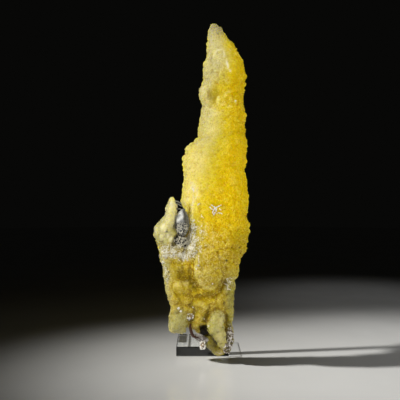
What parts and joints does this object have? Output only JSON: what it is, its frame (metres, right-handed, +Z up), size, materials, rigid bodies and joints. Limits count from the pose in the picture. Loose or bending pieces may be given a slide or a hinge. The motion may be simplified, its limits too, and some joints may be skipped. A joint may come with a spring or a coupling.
{
  "type": "brucite specimen on acrylic stand",
  "caption": "Tall stalactite-like growth of yellow botryoidal brucite with a grey matrix pocket, held on a small clear acrylic block and rod.",
  "frame": {"origin": "centre of the acrylic block's underside, on the surface it stands on", "axes": "+Z up along the specimen's length, +X to the right of the front view, +Y to the back, so the front faces -Y"},
  "size_m": [0.0579, 0.0523, 0.2097],
  "materials": {
    "brucite": "waxy, slightly translucent yellow botryoidal crust with pale and grey patches",
    "clear_acrylic": "polished clear cast acrylic"
  },
  "bodies": {
    "root": {"brucite_specimen": "brucite", "acrylic_base": "clear_acrylic", "support_rod": "clear_acrylic"}
  },
  "joints": []
}
